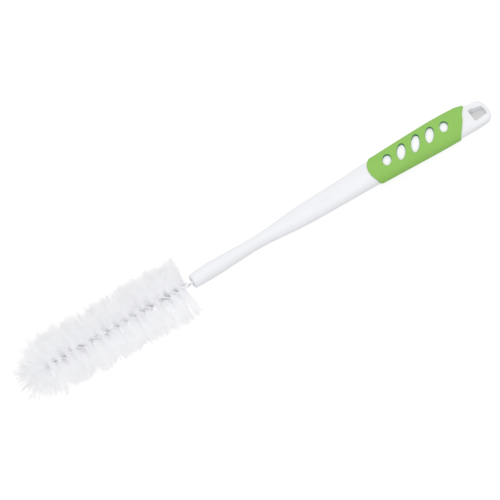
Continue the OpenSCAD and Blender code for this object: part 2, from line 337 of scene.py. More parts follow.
def makeWireTree():
    # one wire: up one strand to the fold, round it and back down the other
    tree, given = newShapeTree(
        "foldedTwist",
        {
            "Steps": 700,
            "Step": 0.5,
            "Fold X": 0.0,
            "Pitch": 14.0,
            "Fold Turn": 0.0,
            "Strand Radius": 1.0,
            "Wire Radius": 0.8,
            "Sides": 12,
            "Groove Start": 0.5,
            "Groove Full": 0.2,
            "Material": None,
        },
    )
    line = addNode(tree, "GeometryNodeMeshLine", {"Count": given["Steps"]}).outputs[0]
    index = addNode(tree, "GeometryNodeInputIndex").outputs[0]
    middle = maths(tree, "MULTIPLY", maths(tree, "SUBTRACT", given["Steps"], 1.0), 0.5)
    signedRun = maths(tree, "MULTIPLY", maths(tree, "SUBTRACT", index, middle), given["Step"])
    side = maths(tree, "SIGN", signedRun)
    run = maths(tree, "ABSOLUTE", signedRun)
    arc = maths(tree, "MULTIPLY", given["Strand Radius"], math.pi / 2)
    straight = maths(tree, "MAXIMUM", maths(tree, "SUBTRACT", run, arc), 0.0)
    bent = maths(tree, "MINIMUM", maths(tree, "DIVIDE", run, arc), 1.0)
    bend = maths(tree, "MULTIPLY", bent, math.pi / 2)
    turns = maths(tree, "DIVIDE", straight, given["Pitch"])
    turn = maths(tree, "MULTIPLY_ADD", turns, 2 * math.pi, given["Fold Turn"])
    forward = maths(tree, "MULTIPLY", maths(tree, "COSINE", bend), given["Strand Radius"])
    x = maths(tree, "SUBTRACT", maths(tree, "ADD", given["Fold X"], straight), forward)
    leaning = maths(tree, "MULTIPLY", maths(tree, "SINE", bend), side)
    out = maths(tree, "MULTIPLY", leaning, given["Strand Radius"])
    y = maths(tree, "MULTIPLY", out, maths(tree, "COSINE", turn))
    z = maths(tree, "MULTIPLY", out, maths(tree, "SINE", turn))
    middleLine = combined(tree, x, y, z)
    moved = {0: line, "Position": middleLine}
    placed = addNode(tree, "GeometryNodeSetPosition", moved).outputs[0]
    placed = stored(tree, placed, "middle", "FLOAT_VECTOR", middleLine)
    outward = vectors(tree, "NORMALIZE", combined(tree, 0.0, y, z))
    placed = stored(tree, placed, "outward", "FLOAT_VECTOR", outward)
    curve = addNode(tree, "GeometryNodeMeshToCurve", {0: placed}).outputs[0]
    circle = {"Resolution": given["Sides"], "Radius": given["Wire Radius"]}
    section = addNode(tree, "GeometryNodeCurvePrimitiveCircle", circle).outputs[0]
    sweep = {"Curve": curve, "Profile Curve": section, "Fill Caps": True}
    tube = addNode(tree, "GeometryNodeCurveToMesh", sweep).outputs[0]

    # how far each point of the surface turns in towards the strands' groove, for the painted shade there
    position = addNode(tree, "GeometryNodeInputPosition").outputs[0]
    fromMiddle = vectors(tree, "SUBTRACT", position, recalled(tree, "middle", "FLOAT_VECTOR"))
    facing = vectors(tree, "DOT_PRODUCT", fromMiddle, recalled(tree, "outward", "FLOAT_VECTOR"))
    groove = addNode(
        tree,
        "ShaderNodeMapRange",
        {
            "Value": maths(tree, "DIVIDE", facing, given["Wire Radius"]),
            "From Min": given["Groove Start"],
            "From Max": given["Groove Full"],
        },
        interpolation_type="SMOOTHSTEP",
    ).outputs[0]
    tube = stored(tree, tube, "groove", "FLOAT", groove)
    tube = cleared(tree, tube, ("middle", "outward"))
    finishShapeTree(tree, tube, given["Material"])
    return tree


twistRun = brush["headLength"] + brush["bareWire"] + brush["anchor"]
wireSteps = 2 * int((twistRun + strandRadius * math.pi / 2) / wire["step"]) + 1
growPiece(
    "wireTwist",
    makeWireTree(),
    {
        **inputNames(wire),
        "Steps": wireSteps,
        "Fold X": foldX,
        "Pitch": brush["twistPitch"],
        "Fold Turn": rowAngle(foldX) + math.pi / 2,
        "Strand Radius": strandRadius,
        "Wire Radius": wire["diameter"] / 2,
        "Material": wireSteel,
    },
    "twisted_wire",
)
print("wire twisted")

# bristles
bristle = {
    "thickness": 0.22,
    "reach": 26.3,  # of the longest filaments
    "reachSpread": 0.26,
    "clumpSize": 2.8,
    "clumpCut": 0.22,  # share that the shortest clumps lack
    "perTuft": 16,
    "count": 7200,  # filaments in each of the three stretches
    "startGap": 2.5,  # from the fold to the first filament
    "endGap": 0.8,  # from the last filament to the head's rear face
    "rootFan": 12.0,  # degrees that a filament leaves the wire off its row
    "fan": 36.0,  # degrees that a tuft's tips swing off the row
    "fineFan": 9.0,
    "partTurn": math.radians(118),  # from the side that the handle arches to, over the top
    "partLow": -20.0,  # degrees to each side, a little different for each tuft
    "partHigh": 30.0,
    "leanLow": -0.14,
    "leanHigh": 0.14,
    "fineLean": 0.07,
    "bow": 0.03,
    "bowAlong": 3.0,  # times as much along the brush as across it
    "set": 0.2,  # that all tips have taken towards the side the handle arches to
}
tip = {
    "count": 1900,
    "perTuft": 9,
    "seed": 907,
    "rootSwing": 180.0,  # degrees, so the tufts leave the fold all round
    "rootFan": 0.0,
    "fan": 0.0,
    "fineFan": 1.8,
    "leanLow": -1.0,  # straight ahead
    "leanHigh": -0.1,
    "fineLean": 0.015,
    "reach": 29.2,
    "reachSpread": 0.6,
    "reachBias": 0.5,  # below 1 leaves only a few tufts long
    "depth": 6.0,  # how far back from the fold the fan starts
}


def makeBristleTree():
    tree, given = newShapeTree(
        "bristleRows",
        {
            "Count": 1000,
            "Per Tuft": 14,
            "Seed": 1,
            "Start": 0.0,
            "End": 100.0,
            "Turn At Zero": 0.0,
            "Pitch": 14.0,
            "Root Swing": 0.0,
            "Root Fan": 5.0,
            "Fan": 20.0,
            "Fine Fan": 10.0,
            "Part Turn": 0.0,
            "Part Low": 0.0,
            "Part High": 0.0,
            "Lean Low": -0.1,
            "Lean High": 0.1,
            "Fine Lean": 0.05,
            "Reach": 22.0,
            "Reach Spread": 0.05,
            "Reach Bias": 1.0,
            "Clump Size": 5.0,
            "Clump Cut": 0.0,
            "Bow": 0.05,
            "Bow Along": 1.0,
            "Set": 0.0,
            "Thickness": 0.25,
            "Lie Angle": 0.0,
            "Axis Height": 20.0,
            "Floor Softness": 0.8,
            "Material": None,
        },
    )
    index = addNode(tree, "GeometryNodeInputIndex").outputs[0]
    tuft = maths(tree, "FLOOR", maths(tree, "DIVIDE", index, given["Per Tuft"]))

    def chance(low, high, key, extra):
        seed = maths(tree, "ADD", given["Seed"], float(extra))
        inputs = {2: low, 3: high, 7: key, 8: seed}
        return addNode(tree, "FunctionNodeRandomValue", inputs, data_type="FLOAT").outputs[1]

    def swing(key, extra):
        # from -1 to 1, mostly near 0
        return maths(tree, "SUBTRACT", chance(0.0, 1.0, key, extra), chance(0.0, 1.0, key, extra + 1))

    # tufts stand along the two rows, and each filament leaves the wire near its tuft
    start = maths(tree, "ADD", chance(given["Start"], given["End"], tuft, 10), swing(index, 11))
    inside = addNode(tree, "ShaderNodeClamp", {0: start, 1: given["Start"], 2: given["End"]}).outputs[0]
    turns = maths(tree, "DIVIDE", inside, given["Pitch"])
    rowTurn = maths(tree, "MULTIPLY_ADD", turns, 2 * math.pi, given["Turn At Zero"])
    half = maths(tree, "MULTIPLY", maths(tree, "ROUND", chance(0.0, 1.0, tuft, 20)), math.pi)
    around = maths(tree, "MULTIPLY", swing(tuft, 32), given["Root Swing"])
    own = maths(tree, "MULTIPLY", swing(index, 35), given["Root Fan"])
    atRoot = maths(tree, "RADIANS", maths(tree, "ADD", around, own))
    turn = maths(tree, "ADD", maths(tree, "ADD", rowTurn, half), atRoot)
    swung = maths(tree, "MULTIPLY", chance(-1.0, 1.0, tuft, 30), given["Fan"])
    neat, loosest = 0.3, 1.7
    loose = maths(tree, "MULTIPLY", chance(neat, loosest, tuft, 45), given["Fine Fan"])
    fine = maths(tree, "MULTIPLY", swing(index, 40), loose)
    fanned = maths(tree, "RADIANS", maths(tree, "ADD", swung, fine))

    # the bristles part along a line above and below, and none crosses it
    away = maths(tree, "SUBTRACT", turn, given["Part Turn"])
    rooted = maths(tree, "WRAP", away, math.pi, -math.pi)
    side = maths(tree, "SIGN", rooted)
    reached = maths(tree, "MULTIPLY_ADD", fanned, side, maths(tree, "ABSOLUTE", rooted))
    reached = maths(tree, "PINGPONG", maths(tree, "ABSOLUTE", reached), math.pi)
    gap = maths(tree, "RADIANS", chance(given["Part Low"], given["Part High"], tuft, 47))
    shrunk = maths(tree, "SUBTRACT", 1.0, maths(tree, "MULTIPLY", gap, 2 / math.pi))
    parted = maths(tree, "MULTIPLY_ADD", reached, shrunk, gap)
    sweep = maths(tree, "SUBTRACT", maths(tree, "MULTIPLY", side, parted), rooted)

    leanTuft = chance(given["Lean Low"], given["Lean High"], tuft, 50)
    leanOwn = maths(tree, "MULTIPLY", swing(index, 60), given["Fine Lean"])
    leanBoth = maths(tree, "ADD", leanTuft, leanOwn)
    lean = addNode(tree, "ShaderNodeClamp", {0: leanBoth, 1: -1.0, 2: 1.0}).outputs[0]
    spread = maths(tree, "SQRT", maths(tree, "SUBTRACT", 1.0, maths(tree, "MULTIPLY", lean, lean)))
    level, upright = maths(tree, "COSINE", turn), maths(tree, "SINE", turn)
    heading = combined(
        tree, lean, maths(tree, "MULTIPLY", spread, level), maths(tree, "MULTIPLY", spread, upright)
    )

    # each tuft is cut to its own length, each filament a little differently, and patches of the
    # head stay shorter
    cutTuft = maths(tree, "POWER", chance(0.0, 1.0, tuft, 70), given["Reach Bias"])
    ownShare = 0.4
    cut = maths(tree, "MULTIPLY_ADD", cutTuft, 1 - ownShare, chance(0.0, ownShare, index, 80))
    clumpsRound = 1.3  # noise cells in a radian round the wire
    spot = combined(
        tree,
        maths(tree, "DIVIDE", inside, given["Clump Size"]),
        maths(tree, "MULTIPLY", level, clumpsRound),
        maths(tree, "MULTIPLY_ADD", upright, clumpsRound, given["Seed"]),
    )
    noise = {"Vector": spot, "Scale": 1.0, "Detail": 1.0}
    uneven = addNode(tree, "ShaderNodeTexNoise", noise).outputs[0]
    cutStart, cutFull = 0.4, 0.62
    short = addNode(
        tree,
        "ShaderNodeMapRange",
        {"Value": uneven, "From Min": cutStart, "From Max": cutFull, "To Max": given["Clump Cut"]},
    ).outputs[0]
    lost = maths(tree, "MULTIPLY_ADD", cut, given["Reach Spread"], short)
    reach = maths(tree, "MULTIPLY", given["Reach"], maths(tree, "SUBTRACT", 1.0, lost))

    def curled(extra):
        own = maths(tree, "MULTIPLY", swing(index, extra + 1), 0.5)
        return maths(tree, "ADD", swing(tuft, extra), own)

    root = combined(tree, inside, 0.0, 0.0)
    curlAlong = maths(tree, "MULTIPLY", curled(90), given["Bow Along"])
    curl = combined(tree, curlAlong, curled(92), curled(94))
    bow = scaled(tree, scaled(tree, curl, given["Bow"]), given["Reach"])
    bow = vectors(tree, "ADD", bow, combined(tree, 0.0, given["Set"], 0.0))

    geometry = addNode(tree, "GeometryNodeMeshLine", {"Count": given["Count"]}).outputs[0]
    geometry = addNode(tree, "GeometryNodeSetPosition", {0: geometry, "Position": root}).outputs[0]
    for label, kind, value in (
        ("root", "FLOAT_VECTOR", root),
        ("bow", "FLOAT_VECTOR", bow),
        ("heading", "FLOAT_VECTOR", heading),
        ("reach", "FLOAT", reach),
        ("sweep", "FLOAT", sweep),
        ("shade", "FLOAT", chance(0.0, 1.0, index, 99)),
    ):
        geometry = stored(tree, geometry, label, kind, value)

    # a filament: three sides, three lengths, a little thinner at its tip
    filament = addNode(
        tree,
        "GeometryNodeMeshCone",
        {"Vertices": 3, "Side Segments": 3, "Radius Top": 0.7, "Radius Bottom": 1.0, "Depth": 1.0},
    ).outputs[0]
    half = maths(tree, "MULTIPLY", given["Thickness"], 0.5)
    ownHeading = recalled(tree, "heading", "FLOAT_VECTOR")
    ownReach = recalled(tree, "reach", "FLOAT")
    facing = addNode(tree, "FunctionNodeAlignRotationToVector", {"Vector": ownHeading}, axis="Z")
    planted = addNode(
        tree,
        "GeometryNodeInstanceOnPoints",
        {
            "Points": geometry,
            "Instance": filament,
            "Rotation": facing.outputs[0],
            "Scale": combined(tree, half, half, ownReach),
        },
    ).outputs[0]
    grown = addNode(tree, "GeometryNodeRealizeInstances", {0: planted}).outputs[0]

    # sweep each filament round the wire more and more towards its tip, which leaves the wire bare,
    # and bow it by the square of the way along it
    position = addNode(tree, "GeometryNodeInputPosition").outputs[0]
    fromRoot = vectors(tree, "SUBTRACT", position, recalled(tree, "root", "FLOAT_VECTOR"))
    share = maths(tree, "DIVIDE", vectors(tree, "DOT_PRODUCT", fromRoot, ownHeading), ownReach)
    angle = maths(tree, "MULTIPLY", recalled(tree, "sweep", "FLOAT"), share)
    swept = addNode(
        tree, "ShaderNodeVectorRotate", {"Vector": position, "Angle": angle}, rotation_type="X_AXIS"
    ).outputs[0]
    sag = scaled(tree, recalled(tree, "bow", "FLOAT_VECTOR"), maths(tree, "MULTIPLY", share, share))
    change = {0: grown, "Position": swept, "Offset": sag}
    bowed = addNode(tree, "GeometryNodeSetPosition", change).outputs[0]

    # near the floor the filaments bend softly instead of passing through it
    up = combined(
        tree,
        maths(tree, "MULTIPLY", maths(tree, "SINE", given["Lie Angle"]), -1.0),
        0.0,
        maths(tree, "COSINE", given["Lie Angle"]),
    )
    height = maths(tree, "ADD", vectors(tree, "DOT_PRODUCT", position, up), given["Axis Height"])
    low = maths(tree, "MINIMUM", height, given["Floor Softness"])
    fade = maths(tree, "SUBTRACT", maths(tree, "DIVIDE", low, given["Floor Softness"]), 1.0)
    eased = maths(tree, "MULTIPLY", given["Floor Softness"], maths(tree, "EXPONENT", fade))
    lifted = scaled(tree, up, maths(tree, "SUBTRACT", eased, low))
    rested = addNode(tree, "GeometryNodeSetPosition", {0: bowed, "Offset": lifted}).outputs[0]
    rested = cleared(tree, rested, ("root", "bow", "heading", "reach", "sweep"))
    finishShapeTree(tree, rested, given["Material"])
    return tree


bristleTree = makeBristleTree()
shared = {
    "Pitch": brush["twistPitch"],
    "Turn At Zero": rowAngle(0),
    "Thickness": bristle["thickness"],
    "Bow": bristle["bow"],
    "Bow Along": bristle["bowAlong"],
    "Set": bristle["set"],
    "Lie Angle": lieAngle,
    "Axis Height": axisHeight,
    "Material": bristleNylon,
}
rowStart = foldX + bristle["startGap"]
stretch = (headRearX - bristle["endGap"] - rowStart) / 3
for number, name in enumerate(("bristlesFront", "bristlesMiddle", "bristlesRear")):
    place = {
        "Seed": 100 * (number + 1),
        "Start": rowStart + number * stretch,
        "End": rowStart + (number + 1) * stretch,
    }
    values = {**inputNames(bristle), **shared, **place}
    growPiece(name, bristleTree, values, "bristles")
place = {"Start": foldX, "End": foldX + tip["depth"]}
values = {**inputNames(tip), **shared, **place}
growPiece("bristlesTip", bristleTree, values, "tip_tuft")
print("bristles grown")

# handle and sleeve outline
grip = {
    "frontDiameter": 10.6,
    "collarDiameter": 11.8,
    "collarPlace": 16.0,
    "neckDiameter": 9.8,
    "neckPlace": 57.0,
    "shoulderLead": 13.0,  # of the shoulder before the middle between neck and sleeve
    "width": 22.6,
    "thickness": 13.4,
    "widestAt": 0.7,  # share of the sleeve's length
    "tailWidth": 20.0,
    "tailThickness": 8.0,
    "arch": 3.6,  # sideways, at the grip
    "tailLength": 22.0,
    "dishFront": 7.0,  # behind the shoulder
    "dishRear": 3.0,  # before the sleeve
    "dishDepth": 1.1,
    "dishWidth": 0.3675,  # share of the grip's width
    "dishShift": 0.12,  # the same, away from the side that the handle arches to
    "frontRound": 1.2,
    "tailRound": 8.0,
    "sides": 128,
}
sleeve = {
    "length": 81.0,
    "depth": 1.8,
    "proud": 0.9,
    "bulge": 5.0,  # of the front end, towards the neck
    "slant": 20.0,  # of the rear end, from side to side
    "corner": 3.2,
    "underStep": 5.0,  # the front end stands this much further back underneath
    "edgeRound": 0.5,
    "windows": 5,
    "windowLength": 15.0,
    "windowWidth": 6.4,
    "windowSpan": 0.76,  # share of the sleeve's length that the row takes
    "windowShrink": 0.1,  # share that a window loses towards the row's ends
    "windowLean": 0.8,  # share of the rear end's slant
    "windowRound": 0.3,
}
handleLength = brush["handleLength"]
sleeveRear = handleLength - grip["tailLength"]
sleeveFront = sleeveRear - sleeve["length"]
shoulder = (grip["neckPlace"] + sleeveFront) / 2 - grip["shoulderLead"]
gripPlace = sleeveFront + grip["widestAt"] * sleeve["length"]
recess = sleeve["depth"] - sleeve["proud"]

# place, half width, half thickness, shift to the side, squareness
outline = np.array([
    [0, grip["frontDiameter"] / 2, grip["frontDiameter"] / 2, 0.08 * grip["arch"], 2],
    [grip["collarPlace"], grip["collarDiameter"] / 2, grip["collarDiameter"] / 2, 0.25 * grip["arch"], 2],
    [grip["neckPlace"], grip["neckDiameter"] / 2, grip["neckDiameter"] / 2, 0.45 * grip["arch"], 2],
    [shoulder, 0.345 * grip["width"], 0.415 * grip["thickness"], 0.56 * grip["arch"], 2.1],
    [sleeveFront - 28, 0.385 * grip["width"], 0.455 * grip["thickness"], 0.69 * grip["arch"], 2.2],
    [sleeveFront, 0.42 * grip["width"], 0.48 * grip["thickness"], 0.89 * grip["arch"], 2.3],
    [gripPlace, grip["width"] / 2, grip["thickness"] / 2, grip["arch"], 2.4],
    [sleeveRear, 0.5 * grip["width"], 0.42 * grip["thickness"], 0.9 * grip["arch"], 2.4],
    [sleeveRear + 8, grip["tailWidth"] / 2, grip["tailThickness"] / 2 + 0.5, 0.61 * grip["arch"], 3.6],
    [handleLength, 0.47 * grip["tailWidth"], grip["tailThickness"] / 2 - 0.5, 0.62 * grip["arch"], 4.0],
])


def sectionAt(place):
    # smooth curve through the rows of the outline, for an array of places
    place = np.asarray(place, float)
    last = len(outline) - 1
    row = np.clip(np.searchsorted(outline[:, 0], place), 1, last)
    before, after = outline[row - 1], outline[row]

    def slope(i):
        low, high = outline[np.maximum(i - 1, 0)], outline[np.minimum(i + 1, last)]
        return (high - low) / (high - low)[..., :1]

    step = (after - before)[..., :1]
    u = (place - before[..., 0])[..., None] / step
    section = (
        (2 * u**3 - 3 * u**2 + 1) * before
        + (u**3 - 2 * u**2 + u) * step * slope(row - 1)
        + (3 * u**2 - 2 * u**3) * after
        + (u**3 - u**2) * step * slope(row)
    )
    return [section[..., k] for k in range(1, 5)]


tailPower = 0.85  # 1 ends the tail in a round, less in a blunter curve


def tailShrink(place):
    # the tail's end rounds in over its last millimetres
    inRound = (place - handleLength + grip["tailRound"]) / grip["tailRound"]
    share = np.clip(inRound, 0, 1) ** (1 / tailPower)
    return np.sqrt(np.clip(1 - share**2, 0, 1)) ** tailPower


def dishDepth(place, side):
    # leaf-shaped hollow in each face, pointed at the neck and round at the sleeve
    start, end = shoulder + grip["dishFront"], sleeveFront - grip["dishRear"]
    t = np.clip((place - start) / (end - start), 1e-6, 1 - 1e-6)
    half = grip["dishWidth"] * grip["width"] * t**0.8 * (1 - t) ** 0.4
    across = (side + grip["dishShift"] * grip["width"]) / half
    ends = np.minimum(1, np.minimum(3 * t, 3.5 * (1 - t)))
    depth = grip["dishDepth"] * np.maximum(0, 1 - across**2) ** 1.3 * ends
    return np.where((place > start) & (place < end), depth, 0)


def skinPoints(place, angle, off=0.0):
    halfWidth, halfThick, shift, squareness = sectionAt(place)
    shrink = tailShrink(place)
    c, s = np.cos(angle), np.sin(angle)
    side = (halfWidth * shrink + off) * np.sign(c) * np.abs(c) ** (2 / squareness)
    up = (halfThick * shrink + off) * np.sign(s) * np.abs(s) ** (2 / squareness)
    up = up - np.sign(s) * dishDepth(place, side)
    return np.stack([handleX + place + 0 * side, shift + side, up], -1)


def skinHeight(x, y, off=0.0):
    # height of the upper skin over a point of the plan
    place = x - handleX
    halfWidth, halfThick, shift, squareness = sectionAt(place)
    shrink = tailShrink(place)
    across = np.clip(np.abs(y - shift) / (halfWidth * shrink + off), 0, 1)
    rise = (halfThick * shrink + off) * (1 - across**squareness) ** (1 / squareness)
    return rise - dishDepth(place, y - shift)


def sideAngles(count):
    # even steps across the flat faces, and even turns round the narrow sides
    flat = np.arccos(np.linspace(0, 0.84, count * 3 // 16 + 1) ** 1.2)
    narrow = np.linspace(flat[-1], 0, count // 16 + 1)[1:]
    quarter = np.concatenate([flat, narrow])[::-1]
    half = np.concatenate([quarter, math.pi - quarter[-2::-1]])
    return np.concatenate([half, half[1:-1] + math.pi])


angles = sideAngles(grip["sides"])
sideCount = len(angles)


def ease(low, high, value):
    t = np.clip((value - low) / (high - low), 0, 1)
    return t * t * (3 - 2 * t)


def sleeveFrontEdge(angle):
    side = np.cos(angle)
    arc = sleeve["bulge"] * side * (side + 0.4)
    return sleeveFront + arc + sleeve["underStep"] * ease(-0.2, 0.7, -np.sin(angle))


def sleeveRearEdge(angle):
    side = np.cos(angle)
    slanted = sleeveRear + sleeve["slant"] / 2 * side - sleeve["corner"] * np.maximum(0, side) ** 3
    return slanted + 0.06 * sleeve["slant"] * np.maximum(0, -side)


def between(a, b, t):
    return a + (b - a) * t


def ringFaces(rings, columns):
    # quads between neighbouring rings, facing outwards when the rings run towards the tail
    faces = []
    for k in range(rings - 1):
        a = k * columns
        for j in range(columns):
            i = (j + 1) % columns
            faces.append((a + j, a + i, a + columns + i, a + columns + j))
    return faces


def shiftToDistance(points, distance, wanted):
    # slides plan points along the slope of a distance function until they are at the wanted distance
    for _ in range(4):
        d = distance(points[:, 0], points[:, 1])
        dx = (distance(points[:, 0] + 0.01, points[:, 1]) - d) / 0.01
        dy = (distance(points[:, 0], points[:, 1] + 0.01) - d) / 0.01
        size = np.maximum(dx**2 + dy**2, 1e-6)
        points = points + ((wanted - d) / size)[:, None] * np.stack([dx, dy], -1)
    return points


def rimLoops(plan, distance, radius, off, arcSteps):
    # rounded rim: from the skin at the fillet's radius down to the upright wall
    loops = []
    for k in range(1, arcSteps + 1):
        t = math.pi / 2 * k / arcSteps
        moved = shiftToDistance(plan, distance, radius * (1 - math.sin(t)))
        height = skinHeight(plan[:, 0], plan[:, 1], off) - radius * (1 - math.cos(t))
        loops.append(np.column_stack([moved, height]))
    return loops


def boundaryEdges(kept, removedCorners):
    # directed edges of kept faces whose two ends also belong to a removed face
    seen = {}
    for face in kept:
        for a, b in zip(face, face[1:] + face[:1]):
            seen[(a, b)] = True
    single = [(a, b) for (a, b) in seen if (b, a) not in seen]
    return [(a, b) for (a, b) in single if a in removedCorners and b in removedCorners]


# handle
hole = {
    "length": 11.6,
    "width": 10.4,
    "endWidth": 7.2,
    "wall": 3.5,  # of plastic behind the hole
    "corner": 1.4,
    "rim": 0.9,
}
holeEndX = tailX - hole["wall"]
holeCorners = np.array([
    [holeEndX - hole["length"] + hole["corner"], -hole["width"] / 2 + hole["corner"]],
    [holeEndX - hole["corner"], -hole["endWidth"] / 2 + hole["corner"]],
    [holeEndX - hole["corner"], hole["endWidth"] / 2 - hole["corner"]],
    [holeEndX - hole["length"] + hole["corner"], hole["width"] / 2 - hole["corner"]],
]) + [0, 0.45 * grip["arch"]]


def holeDistance(x, y):
    # distance from the hole's rounded outline, negative inside
    p = np.stack([x, y], -1)
    nearest = np.full(x.shape, 1e9)
    inside = np.full(x.shape, True)
    for a, b in zip(holeCorners, np.roll(holeCorners, -1, 0)):
        edge = b - a
        t = np.clip(((p - a) @ edge) / (edge @ edge), 0, 1)
        nearest = np.minimum(nearest, np.linalg.norm(p - a - t[..., None] * edge, axis=-1))
        inside &= edge[0] * (p[..., 1] - a[1]) - edge[1] * (p[..., 0] - a[0]) > 0
    return np.where(inside, -nearest, nearest) - hole["corner"]


def makeHandle():
    socketRadius = strandRadius + wire["diameter"] / 2 + wire["clearance"]
    circle = np.stack([np.cos(angles), np.sin(angles)], -1)
    tailStart = handleLength - grip["tailRound"]
    frontEdge, rearEdge = sleeveFrontEdge(angles), sleeveRearEdge(angles)
    rings = []

    def steps(low, high, count):
        return np.linspace(low, high, count + 1)[:-1]

    def addRing(place, off=0.0):
        rings.append(skinPoints(place + np.zeros(sideCount), angles, off))

    # a shallow socket that the wire fills, with an eased mouth
    for depth, widening in ((0.5, 0.0), (0.4, 0.0), (0.1, 0.1), (0.0, 0.4)):
        x = np.full(sideCount, handleX + depth)
        rings.append(np.column_stack([x, (socketRadius + widening) * circle]))
    for a in steps(0, math.pi / 2, 8):
        addRing(grip["frontRound"] * (1 - math.cos(a)), -grip["frontRound"] * (1 - math.sin(a)))
    for place in steps(grip["frontRound"], shoulder, 75):
        addRing(place)
    for t in np.linspace(0, 1, 71):
        addRing(between(shoulder, frontEdge, t))
    firstCovered = len(rings) + 3
    for t in np.linspace(0, 1, 101):
        addRing(between(frontEdge, rearEdge, t), -recess)
    lastCovered = len(rings) - 3
    for t in steps(0, 1, 42):
        addRing(between(rearEdge, tailStart, t))
    for a in steps(0, math.pi / 2, 26):
        addRing(handleLength - grip["tailRound"] * (1 - math.sin(a) ** tailPower))
    points = np.concatenate(rings)
    faces = ringFaces(len(rings), sideCount)

    # the hanging hole goes through both faces of the tail, and its rims match side for side
    centres = points[np.array(faces)].mean(1)
    outer = holeDistance(centres[:, 0], centres[:, 1]) > hole["rim"]
    kept = [f for f, keep in zip(faces, outer) if keep]
    gone = {v for f, keep in zip(faces, outer) if not keep for v in f}
    edges = boundaryEdges(kept, gone)
    rim = sorted({v for e in edges for v in e})
    plan = shiftToDistance(points[rim, :2], holeDistance, hole["rim"])
    points[rim] = np.column_stack([plan, np.sign(points[rim, 2]) * skinHeight(plan[:, 0], plan[:, 1])])

    upper = [v for v in rim if points[v, 2] > 0]
    loops = rimLoops(points[upper, :2], holeDistance, hole["rim"], 0.0, 6)
    first = len(points)
    points = np.concatenate([points] + loops + [loop * [1, 1, -1] for loop in reversed(loops)])
    levels = 2 * len(loops)
    chain = {}
    for n, v in enumerate(upper):
        mirror = v - v % sideCount + (sideCount - v % sideCount) % sideCount
        chain[v] = [v] + [first + k * len(upper) + n for k in range(levels)] + [mirror]
    for a, b in edges:
        if a in chain and b in chain:
            for k in range(levels + 1):
                kept.append((chain[b][k], chain[a][k], chain[a][k + 1], chain[b][k + 1]))
    tailCap = tuple(range((len(rings) - 1) * sideCount, len(rings) * sideCount))
    socketCap = tuple(range(sideCount - 1, -1, -1))
    mesh = bpy.data.meshes.new("handleSkin")
    mesh.from_pydata(points.tolist(), [], kept + [tailCap, socketCap])
    # mask for the painted light under the sleeve
    covered = np.zeros(len(points))
    covered[firstCovered * sideCount:lastCovered * sideCount] = 1
    mesh.attributes.new("covered", "FLOAT", "POINT").data.foreach_set("value", covered)
    mesh.materials.append(handlePlastic)
    placePiece(mesh, "handleSkin", "handle")


makeHandle()
print("handle made")


# grip sleeve
def windowPlaces():
    pitch = sleeve["windowSpan"] * sleeve["length"] / sleeve["windows"]
    for k in range(sleeve["windows"]):
        fromMiddle = k - (sleeve["windows"] - 1) / 2
        place = (sleeveFront + sleeveRear) / 2 + fromMiddle * pitch
        shift = float(sectionAt(place)[2])
        length = sleeve["windowLength"] * (1 - sleeve["windowShrink"] * fromMiddle**2)
        yield handleX + place, shift, length


def windowDistance(x, y):
    # distance from the nearest leaning oval, negative inside
    lean = math.atan(sleeve["windowLean"] * sleeve["slant"] / grip["width"])
    nearest = np.full(np.shape(x), 1e9)
    for centreX, centreY, length in windowPlaces():
        a, b = sleeve["windowWidth"] / 2, length / 2
        u = math.cos(lean) * (x - centreX) - math.sin(lean) * (y - centreY)
        v = math.sin(lean) * (x - centreX) + math.cos(lean) * (y - centreY)
        level = np.sqrt((u / a) ** 2 + (v / b) ** 2) + 1e-9
        steep = np.sqrt((u / a**2) ** 2 + (v / b**2) ** 2) / level + 1e-9
        nearest = np.minimum(nearest, (level - 1) / steep)
    return nearest


